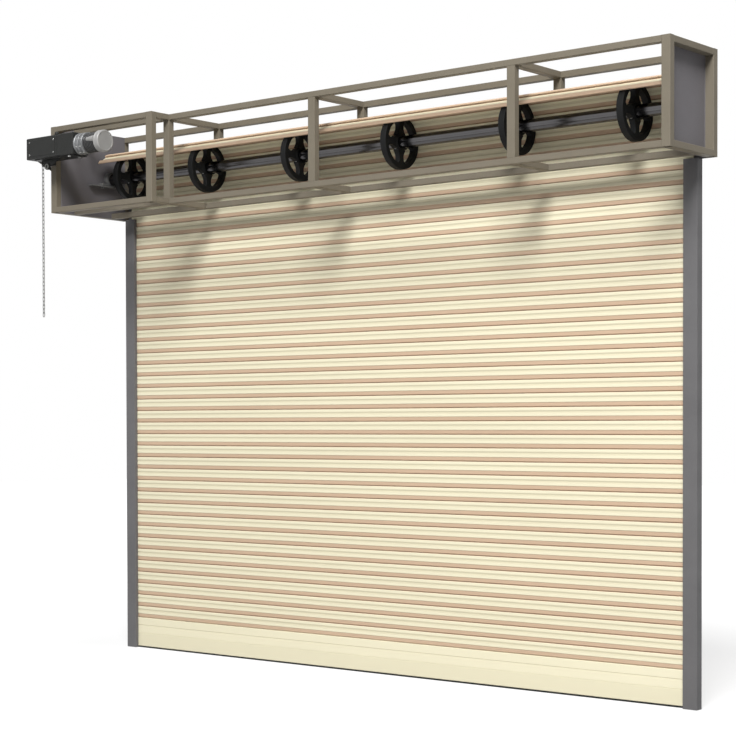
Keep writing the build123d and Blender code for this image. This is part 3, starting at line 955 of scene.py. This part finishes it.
@dataclass
class Barrel:
    """Polished shaft with six cast wheels."""

    shaft_y: float = -183.5
    height: float = 3120.0
    shaft_radius: float = 35.0
    bore_radius: float = 27.0
    wheel_radius: float = 155.0
    wheel_half_width: float = 20.0
    rim_inner: float = 124.0
    rim_corner: float = 3.5
    hub_radius: float = 50.0
    hub_corner: float = 3.0
    hub_gap: float = 0.05
    spoke_corner: float = 4.0
    spoke_count: int = 4
    wheel_count: int = 6
    shaft_edge: float = 1.5
    fine_sides: int = 96

    # reach from the centre, half width and half thickness along a spoke
    flare: tuple[Triple, ...] = (
        (43, 38, 18.5), (52, 32, 18), (60, 27, 17.5), (70, 23, 17), (80, 21, 16.5), (98, 21, 16.5),
        (107, 23, 17), (115, 28, 17.5), (122, 35, 18), (128, 42, 18.5),
    )
    # reach from the centre and radius along a set screw
    screw_profile: tuple[Pair, ...] = (
        (46.0, 7.0), (53.0, 7.0), (54.0, 6.0), (54.0, 3.2), (50.0, 3.2),
    )

    def build(self) -> None:
        """Builds the shaft and the wheels."""
        low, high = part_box("shaft")
        start, end = low.x * TO_MM, high.x * TO_MM
        outer, inner, edge = self.shaft_radius, self.bore_radius, self.shaft_edge
        tube = Shell()
        profile = [
            (start, inner), (start, outer - edge), (start + edge, outer), (end - edge, outer),
            (end, outer - edge), (end, inner),
        ]
        centre = (0.0, self.shaft_y, self.height)
        tube.lathe(profile, centre, sides=self.fine_sides, ring=True)
        dressed("shaft_tube", tube, Body.BARREL, (POLISHED,), ["shaft"])
        for number in range(1, self.wheel_count + 1):
            node = f"wheel_{number}"
            box_low, box_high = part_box(node)
            self.build_wheel(node, (box_low.x + box_high.x) * TO_MM / 2)

    def ray(self, turn: float) -> tuple[Vector, Vector]:
        """Directions outward and sideways at a turn of the wheel."""
        across, up = math.cos(turn), math.sin(turn)
        return Vector((0.0, across, up)), Vector((0.0, -up, across))

    def spoke(self, shell: Shell, centre: Triple, turn: float) -> None:
        """Adds a spoke that flares into the hub and the rim.

        Args:
            shell: the wheel's shell.
            centre: the wheel's centre.
            turn: the spoke's direction.
        """
        out, side = self.ray(turn)
        loops = []
        for reach, half_width, half_thick in self.flare:
            loop = []
            near, far = (-half_thick, -half_width), (half_thick, half_width)
            for along, across in rounded_box(near, far, self.spoke_corner, 3):
                spot = Vector(centre) + out * reach + side * across + Vector((along, 0, 0))
                loop.append(tuple(spot))
            loops.append(loop)
        shell.loft(loops)

    def build_wheel(self, node: str, middle: float) -> None:
        """Builds a wheel: rim, four spokes, hub and set screws.

        Args:
            node: the CAD node that it stands for.
            middle: X of the wheel's middle plane.
        """
        centre = (middle, self.shaft_y, self.height)
        half = self.wheel_half_width
        wheel = Shell()
        rim = rounded_box((-half, self.rim_inner), (half, self.wheel_radius), self.rim_corner)
        wheel.lathe(rim, centre, sides=self.fine_sides, ring=True)
        bore = (-half, self.shaft_radius + self.hub_gap)
        wheel.lathe(rounded_box(bore, (half, self.hub_radius), self.hub_corner), centre, ring=True)
        for number in range(self.spoke_count):
            self.spoke(wheel, centre, 2 * math.pi / self.spoke_count * number)
        dressed(f"cast_{node}", wheel, Body.BARREL, (WHEEL_BLACK,), [node])

        screws = Shell()
        for turn in (math.pi / 4, math.pi * 5 / 4):  # between the spokes, opposite each other
            out, side = self.ray(turn)
            loops = []
            for reach, radius in self.screw_profile:
                loop = []
                for step in range(6):
                    angle = math.pi * step / 3
                    along = Vector((radius * math.sin(angle), 0, 0))
                    spot = Vector(centre) + out * reach + side * radius * math.cos(angle) + along
                    loop.append(tuple(spot))
                loops.append(loop)
            screws.loft(loops)
        dressed(f"set_screws_{node}", screws, Body.BARREL, (BOLT_ZINC,))


# Head frame


@dataclass
class HeadFrame:
    """Head frame of rectangular tube with its end plates, bearings and the guides below."""

    keeper: Keeper
    wall: float = 2.5
    corner: float = 2.8
    upright_foot: float = 3222.0
    strap: float = 8.0

    # the end plates' weld beads: half their width, and how far they stop short
    bead: float = 2.5
    bead_edge: float = 1.2
    bead_end: float = 1.0

    # the lugs' inner ends, from the door's middle and down from the guides' tops
    lug_start: float = 2078.0
    lug_reach: float = 48.0
    lug_depth: float = 6.0
    lug_rise: float = 110.0

    # nodes of plain tube by their direction, and uprights that stand on a flat strap
    along_x: tuple[str, ...] = (
        "front_top_rail", "front_bottom_rail", "rear_bottom_rail", "bay_top_rail",
        "bay_bottom_rail",
    )
    along_y: tuple[str, ...] = (
        "bay_top_side", "bay_bottom_side", "left_top_tube", "left_bottom_tube", "right_top_tube",
        "right_bottom_tube", "step_top_cross", "step_bottom_cross", "middle_top_cross",
        "middle_bottom_cross", "right_bay_top_cross", "right_bay_bottom_cross",
    )
    along_z: tuple[str, ...] = (
        "bay_post", "left_front_post", "left_rear_post", "right_front_post", "right_rear_post",
        "step_front_upright", "middle_front_upright", "right_bay_front_upright",
    )
    strapped: tuple[str, ...] = (
        "step_rear_upright", "middle_rear_upright", "right_bay_rear_upright",
    )

    def build(self) -> None:
        """Builds the tubes and dresses the plates, bearings and guides."""
        for axis, names in ((Axis.X, self.along_x), (Axis.Y, self.along_y), (Axis.Z, self.along_z)):
            for name in names:
                tube = Shell()
                tube.hollow(*self.keeper.corners(name), self.wall, self.corner, axis)
                dressed(f"{name}_tube", tube, Body.FRAME, (TAUPE,), [name])
        for name in self.strapped:
            low, high = self.keeper.corners(name)
            upright = Shell()
            foot = (low[0], low[1], self.upright_foot)
            upright.hollow(foot, high, self.wall, self.corner, Axis.Z)
            strap_low = (low[0], high[1] - self.strap, low[2])
            upright.slab(strap_low, (high[0], high[1], self.upright_foot + 1.0), 1.0, Axis.Z)
            dressed(f"{name}_tube", upright, Body.FRAME, (TAUPE,), [name])
        self.keeper.dress(["rear_top_rail"], TAUPE, width=1.1)
        self.keeper.dress(["left_end_plate", "right_end_plate"], PLATE_GREY, width=0.4)
        self.build_beads()
        self.build_lugs()
        self.keeper.dress(["left_bearing", "right_bearing"], CAST_IRON, width=1.6)
        self.keeper.dress(["left_guide", "right_guide"], GUIDE_GREY, width=1.2)

    def build_lugs(self) -> None:
        """Builds the inner ends of the lugs, which close the view past the curtain's edges."""
        lugs = Shell()
        for node, side in (("left_guide", -1), ("right_guide", 1)):
            top = self.keeper.corners(node)[1][2]
            left, right = sorted((side * self.lug_start, side * (self.lug_start + self.lug_reach)))
            lugs.slab((left, -self.lug_depth, top - self.lug_rise), (right, 0.0, top), 1.0, Axis.Z)
        dressed("lug_inner_ends", lugs, Body.FRAME, (GUIDE_GREY,))

    def build_beads(self) -> None:
        """Builds the weld beads that join the end plates to the posts beside them."""
        beads = Shell()
        for node, side in (("left_end_plate", 0), ("right_end_plate", 1)):
            low, high = self.keeper.corners(node)
            x = high[0] if side else low[0]
            for y in (low[1], high[1]):
                foot = (x - self.bead, y - self.bead, low[2] + self.bead_end)
                head = (x + self.bead, y + self.bead, high[2] - self.bead_end)
                beads.slab(foot, head, self.bead_edge, Axis.Z)
        dressed("plate_weld_beads", beads, Body.FRAME, (PLATE_GREY,))


# Operator


@dataclass
class Operator:
    """Drive unit along the wall: housing, ribbed ring, motor, end cap, tray, bracket and chain."""

    keeper: Keeper
    axis_y: float = -728.0
    axis_z: float = 3262.0
    cover_length: float = 300.0
    lid_drop: float = 4.0
    flange: float = 14.0
    lobe_count: int = 3
    lobe_share: float = 5.4
    rib_count: int = 8
    bolt_circle: float = 60.5
    cap_circle: float = 56.0
    boss_from_side: float = 60.0
    boss_rise: float = 21.0
    fine_sides: int = 96

    # turned pieces: places along the axis with their radii
    knob: tuple[Pair, ...] = (
        (0, 9), (9, 8.5), (11, 12), (13, 15), (24, 15), (28, 13), (30, 9), (29, 4),
    )
    cover_screw: tuple[Pair, ...] = (
        (0, 5.5), (-1.0, 5.5), (-1.6, 4.8), (-1.6, 2.6), (-0.6, 2.4),
    )
    # profile of the light cone that stands as a painted highlight on the motor's neck
    neck: tuple[Pair, ...] = (
        (-70, 11.5), (-69, 13), (-30, 16.8), (-27, 18.2), (-22, 18.2), (-19, 18.2), (0, 20),
    )
    boss: tuple[Pair, ...] = (
        (0.5, 10.0), (-1.8, 10.6), (-2.4, 12.0), (-2.4, 15.4), (-1.6, 17.0), (0.5, 17.6),
    )
    cap_screw: tuple[Pair, ...] = (
        (-3.0, 4.0), (-0.4, 4.0), (0.0, 3.6), (0.0, 2.0), (-1.6, 1.8),
    )

    def turned(self, x: float) -> Triple:
        """A point of the drive's axis."""
        return (x, self.axis_y, self.axis_z)

    def bolted(
        self, profile: Sequence[Pair], x: float, radius: float, count: int, sides: int
    ) -> Shell:
        """Makes bolts on a circle round the drive's axis.

        Args:
            profile: places along a bolt with their radii.
            x: where a bolt starts.
            radius: the circle's radius.
            count: how many bolts.
            sides: how many sides a bolt has.

        Returns:
            The shell that holds them.
        """
        bolts = Shell()
        for step in range(count):
            turn = 2 * math.pi / count * (step + 0.5)
            y, z = self.axis_y + radius * math.cos(turn), self.axis_z + radius * math.sin(turn)
            bolts.lathe(profile, (x, y, z), Axis.X, sides)
        return bolts

    def build(self) -> None:
        """Builds the operator's pieces and dresses the ones kept from the frame."""
        self.build_housing()
        self.build_ring()
        self.build_motor()
        self.build_cap()
        self.build_boss()
        self.keeper.dress(["operator_tray"], OPERATOR_BLACK, width=1.2)
        self.keeper.dress(["release_bracket"], OPERATOR_BLACK, width=1.0)
        self.keeper.dress(["bolts"], BOLT_ZINC, width=0.6)
        self.keeper.dress(["large_sprocket", "output_sprocket", "drive_chain"], DRIVE_STEEL)

    def build_housing(self) -> None:
        """Builds the black gear housing with its cover, screws and knob."""
        low, high = self.keeper.corners("gear_housing")
        top = high[2] - self.lid_drop
        split, rear = low[0] + self.cover_length, high[0] - self.flange
        housing = Shell()
        housing.slab((low[0], low[1] + 3, low[2]), (split - 2, high[1] - 3, top), 7.0)
        housing.slab((split - 6, low[1] + 6, low[2] + 3), (split + 6, high[1] - 6, top - 3), 4.0)
        housing.slab((split + 2, low[1] + 3, low[2]), (rear, high[1] - 3, top), 7.0)
        housing.slab((rear - 2, low[1], low[2]), (high[0], high[1], top), 5.0)
        cover = (low[0] + 22, low[1] + 1, low[2] + 16)
        housing.slab(cover, (split - 24, low[1] + 8, top - 16), 2.0, Axis.Y)
        black = (OPERATOR_BLACK,)
        dressed("housing_body", housing, Body.FRAME, black, ["gear_housing"])

        knob = Shell()
        knob.lathe(self.knob, ((low[0] + high[0]) / 2, self.axis_y, top), Axis.Z, 24)
        dressed("housing_knob", knob, Body.FRAME, black)

        screws = Shell()
        for x in (low[0] + 34, split - 36):
            for z in (low[2] + 28, top - 28):
                screws.lathe(self.cover_screw, (x, low[1] + 1.6, z), Axis.Y, 18)
        dressed("cover_screws", screws, Body.FRAME, (BOLT_ZINC,))

    def build_ring(self) -> None:
        """Builds the silver ring with its three lobes."""
        low, high = self.keeper.corners("gear_ring")
        length = high[0] - low[0]
        profile: list[Pair] = []
        lobe = length / self.lobe_share
        for index in range(self.lobe_count):
            start = index * (length - lobe) / (self.lobe_count - 1)
            profile += [
                (start, 62.0), (start + 0.06 * lobe, 65.5), (start + 0.25 * lobe, 68.0),
                (start + 0.75 * lobe, 68.0), (start + 0.94 * lobe, 65.5), (start + lobe, 62.0),
            ]
        ring = Shell()
        ring.lathe(profile, self.turned(low[0]), sides=self.fine_sides)
        rod = [(0.0, 4.6), (length - 4.0, 4.6)]
        bolts = self.bolted(rod, low[0] + 2.0, self.bolt_circle, 8, 6)
        dressed("ribbed_ring", ring, Body.FRAME, (SILVER,), ["gear_ring"])
        dressed("ring_tie_bolts", bolts, Body.FRAME, (BOLT_ZINC,))

    def build_motor(self) -> None:
        """Builds the ribbed motor and a light grey cone on its front, a painted highlight of its
        neck.
        """
        low, high = self.keeper.corners("motor_body")
        length = high[0] - low[0]
        pitch = length / self.rib_count
        profile: list[Pair] = [(0.0, 58.0)]
        for index in range(self.rib_count):
            start, end = (index + 0.25) * pitch, (index + 0.25) * pitch + 0.5 * pitch
            profile += [
                (start - 1.0, 58.0), (start, 60.8), (start + 0.12 * pitch, 62.0),
                (start + 0.38 * pitch, 62.0), (end, 60.8), (end + 1.0, 58.0),
            ]
        profile.append((length, 58.0))
        motor = Shell()
        motor.lathe(profile, self.turned(low[0]), sides=self.fine_sides)
        dressed("motor_ribs", motor, Body.FRAME, (MOTOR_DARK,), ["motor_body"])
        # painted highlight: a light grey cone set off the axis, towards the front and up, where the
        # neck shows a bright glint
        neck = Shell()
        neck.lathe(self.neck, (high[0], self.axis_y - 52.0, self.axis_z + 12.0), sides=32)
        dressed("motor_neck_highlight", neck, Body.FRAME, (CAP_GREY,))

    def build_boss(self) -> None:
        """Builds the turned ring on the bracket's boss."""
        low, _ = self.keeper.corners("release_bracket")
        ring = Shell()
        centre = (low[0] + self.boss_from_side, low[1], low[2] + self.boss_rise)
        ring.lathe(self.boss, centre, Axis.Y, 40, ring=True)
        dressed("boss_ring", ring, Body.FRAME, (BOSS_GREY,))

    def build_cap(self) -> None:
        """Builds the light end cap with its rounded rim, recess and screws."""
        low, high = self.keeper.corners("end_cap")
        length = high[0] - low[0]
        cap = Shell()
        cap.lathe(
            [
                (0, 66.5), (1.5, 68.5), (9, 68.5), (10.5, 67.3), (12, 67.3), (13.5, 68.5),
                (length - 7, 68.5), (length - 3.6, 67.6), (length - 1.2, 65.2), (length, 61.5),
                (length, 57.0), (length - 1.6, 55.0), (length - 1.8, 30.0), (length - 1.8, 6.0),
            ],
            self.turned(low[0]), sides=self.fine_sides,
        )
        dressed("end_cap_cover", cap, Body.FRAME, (CAP_GREY,), ["end_cap"])
        screws = self.bolted(self.cap_screw, high[0], self.cap_circle, 4, 16)
        dressed("end_cap_screws", screws, Body.FRAME, (BOLT_ZINC,))


# Release


@dataclass
class Release:
    """Release lever with the link chain that hangs from it."""

    keeper: Keeper
    link_count: int = 39
    inner_length: float = 25.0
    inner_width: float = 8.2
    wire_width: float = 4.4
    slack: float = 0.2
    half_turn_steps: int = 8
    smooth_below: float = 80.0

    def build(self) -> None:
        """Builds the chain link by link and dresses the lever."""
        self.keeper.dress(["release_lever"], OPERATOR_BLACK, width=0.8)
        low, high = self.keeper.corners("release_chain")
        middle_x, middle_y = (low[0] + high[0]) / 2, (low[1] + high[1]) / 2
        radius = (self.inner_width + self.wire_width) / 2
        half = (self.inner_length - self.inner_width) / 2
        first = high[2] - self.wire_width - self.inner_length / 2
        chain = Shell()
        for index in range(self.link_count):
            centre = Vector((middle_x, middle_y, first - index * (self.inner_length - self.slack)))
            normal, across = ((1, 0, 0), (0, 1, 0)) if index % 2 == 0 else ((0, 1, 0), (1, 0, 0))
            path = []
            for end in (1, -1):
                for step in range(self.half_turn_steps + 1):
                    turn = math.pi * step / self.half_turn_steps + (0 if end == 1 else math.pi)
                    reach = radius * math.cos(turn)
                    rise = radius * math.sin(turn) + end * half
                    path.append(tuple(centre + Vector(across) * reach + Vector((0, 0, rise))))
            chain.wire(path, normal, self.wire_width / 2)
        dressed(
            "hanging_chain", chain, Body.PULL_CHAIN, (ZINC,), ["release_chain"],
            sharp=self.smooth_below,
        )


# Studio


@dataclass
class Studio:
    """Floor, light and camera, with lengths in metres and angles in degrees."""

    # the floor, and how its white grows with the distance from the door's middle
    floor_reach: float = 30.0
    floor_drop: float = 0.001
    floor_grey: float = 0.4
    white_range: Pair = (2.5, 7.0)
    white_share: Pair = (0.62, 1.0)

    # the camera
    eye: Triple = (6.6583, -8.2253, 1.4915)
    yaw: float = 39.39
    pitch: float = -1.115
    roll: float = -0.137
    lens: float = 86.51
    film: float = 36.0
    rise: float = 0.1237
    far: float = 200.0

    # the lamps and the sky
    key_at: Triple = (9.4, -14.5, 18.4)
    key_aim: Triple = (0.0, 0.0, 1.7)
    key_power: float = 7450.0
    key_width: float = 10.0
    fill_from: Triple = (-0.5, -0.85, 0.35)
    fill_strength: float = 0.12
    fill_width: float = 40.0
    back_from: Triple = (-0.4, 1.0, 0.7)
    back_strength: float = 0.5
    back_width: float = 30.0
    sky: float = 0.08

    def build(self) -> None:
        """Builds the floor, the sky, the lamps and the camera."""
        self.build_floor()
        self.build_sky()
        self.build_key()
        self.build_lamp("fill_light", self.fill_from, self.fill_strength, self.fill_width)
        self.build_lamp("back_light", self.back_from, self.back_strength, self.back_width)
        self.build_camera()

    def build_floor(self) -> None:
        """Builds the pale floor, which shows white and keeps the shadow."""
        mesh = bpy.data.meshes.new("floor")
        corners = [
            (x * self.floor_reach, y * self.floor_reach, -self.floor_drop)
            for x, y in ((-1, -1), (1, -1), (1, 1), (-1, 1))
        ]
        mesh.from_pydata(corners, [], [(0, 1, 2, 3)])
        floor = bpy.data.objects.new("floor", mesh)
        bpy.context.scene.collection.objects.link(floor)
        material = bpy.data.materials.new("pale_floor")
        board = ShaderBoard(material)
        out = board.add("ShaderNodeOutputMaterial")
        diffuse = board.add("ShaderNodeBsdfDiffuse")
        diffuse.inputs["Color"].default_value = (*[self.floor_grey] * 3, 1.0)
        glow = board.add("ShaderNodeEmission")
        place = board.add("ShaderNodeTexCoord")
        away = board.add("ShaderNodeVectorMath", operation="LENGTH")
        board.join(place.outputs["Object"], away.inputs[0])
        strength = board.add("ShaderNodeMath", operation="MULTIPLY")
        board.join(board.shown(), strength.inputs[0])
        glow_there = board.ranged(away.outputs["Value"], self.white_range, self.white_share)
        board.join(glow_there, strength.inputs[1])
        board.join(strength.outputs[0], glow.inputs["Strength"])
        both = board.add("ShaderNodeAddShader")
        board.join(diffuse.outputs[0], both.inputs[0])
        board.join(glow.outputs[0], both.inputs[1])
        board.join(both.outputs[0], out.inputs["Surface"])
        mesh.materials.append(material)

    def build_sky(self) -> None:
        """Lights the room softly from all round and shows it white."""
        world = bpy.data.worlds.new("studio")
        bpy.context.scene.world = world
        board = ShaderBoard(world)
        out = board.add("ShaderNodeOutputWorld")
        sky = board.add("ShaderNodeBackground")
        sky.inputs["Color"].default_value = (1.0, 1.0, 1.0, 1.0)
        strength = board.ranged(board.shown(), (0.0, 1.0), (self.sky, 1.0))
        board.join(strength, sky.inputs["Strength"])
        board.join(sky.outputs[0], out.inputs["Surface"])

    def build_key(self) -> None:
        """Adds the large soft lamp, up at the right in front of the door."""
        data = bpy.data.lights.new("key_light", "AREA")
        data.shape = "DISK"
        data.size = self.key_width
        data.energy = self.key_power
        lamp = bpy.data.objects.new("key_light", data)
        away = Vector(self.key_at) - Vector(self.key_aim)
        turned = away.to_track_quat("Z", "Y").to_matrix().to_4x4()
        lamp.matrix_world = Matrix.Translation(self.key_at) @ turned
        lamp.visible_camera = False
        bpy.context.scene.collection.objects.link(lamp)

    def build_lamp(self, name: str, source: Triple, strength: float, width: float) -> None:
        """Adds a distant soft lamp.

        Args:
            name: the lamp's name.
            source: the direction that its light comes from.
            strength: its strength.
            width: how wide it looks, in degrees.
        """
        data = bpy.data.lights.new(name, "SUN")
        data.energy = strength
        data.angle = math.radians(width)
        lamp = bpy.data.objects.new(name, data)
        lamp.rotation_euler = Vector(source).to_track_quat("Z", "Y").to_euler()
        bpy.context.scene.collection.objects.link(lamp)

    def build_camera(self) -> None:
        """Sets the camera where the photograph was taken from."""
        yaw, pitch, roll = (math.radians(angle) for angle in (self.yaw, self.pitch, self.roll))
        flat = math.cos(pitch)
        forward = Vector((-math.sin(yaw) * flat, math.cos(yaw) * flat, math.sin(pitch)))
        level = Vector((math.cos(yaw), math.sin(yaw), 0.0))
        up = level.cross(forward)
        right = level * math.cos(roll) + up * math.sin(roll)
        upright = up * math.cos(roll) - level * math.sin(roll)
        data = bpy.data.cameras.new("camera")
        data.sensor_fit = "HORIZONTAL"
        data.sensor_width = self.film
        data.lens = self.lens
        data.shift_y = self.rise
        data.clip_end = self.far
        camera = bpy.data.objects.new("camera", data)
        turned = Matrix((right, upright, -forward)).transposed().to_4x4()
        camera.matrix_world = Matrix.Translation(self.eye) @ turned
        bpy.context.scene.collection.objects.link(camera)
        bpy.context.scene.camera = camera


def main() -> None:
    """Builds the door's pieces in order, then the studio."""
    logging.basicConfig(level=logging.INFO, format="%(name)s: %(message)s")
    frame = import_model()
    bpy.context.scene.view_settings.view_transform = "Standard"
    keeper = Keeper(frame["nodes"])
    Curtain().build()
    Barrel().build()
    HeadFrame(keeper).build()
    Operator(keeper).build()
    Release(keeper).build()
    Studio().build()


if __name__ == "__main__":
    main()
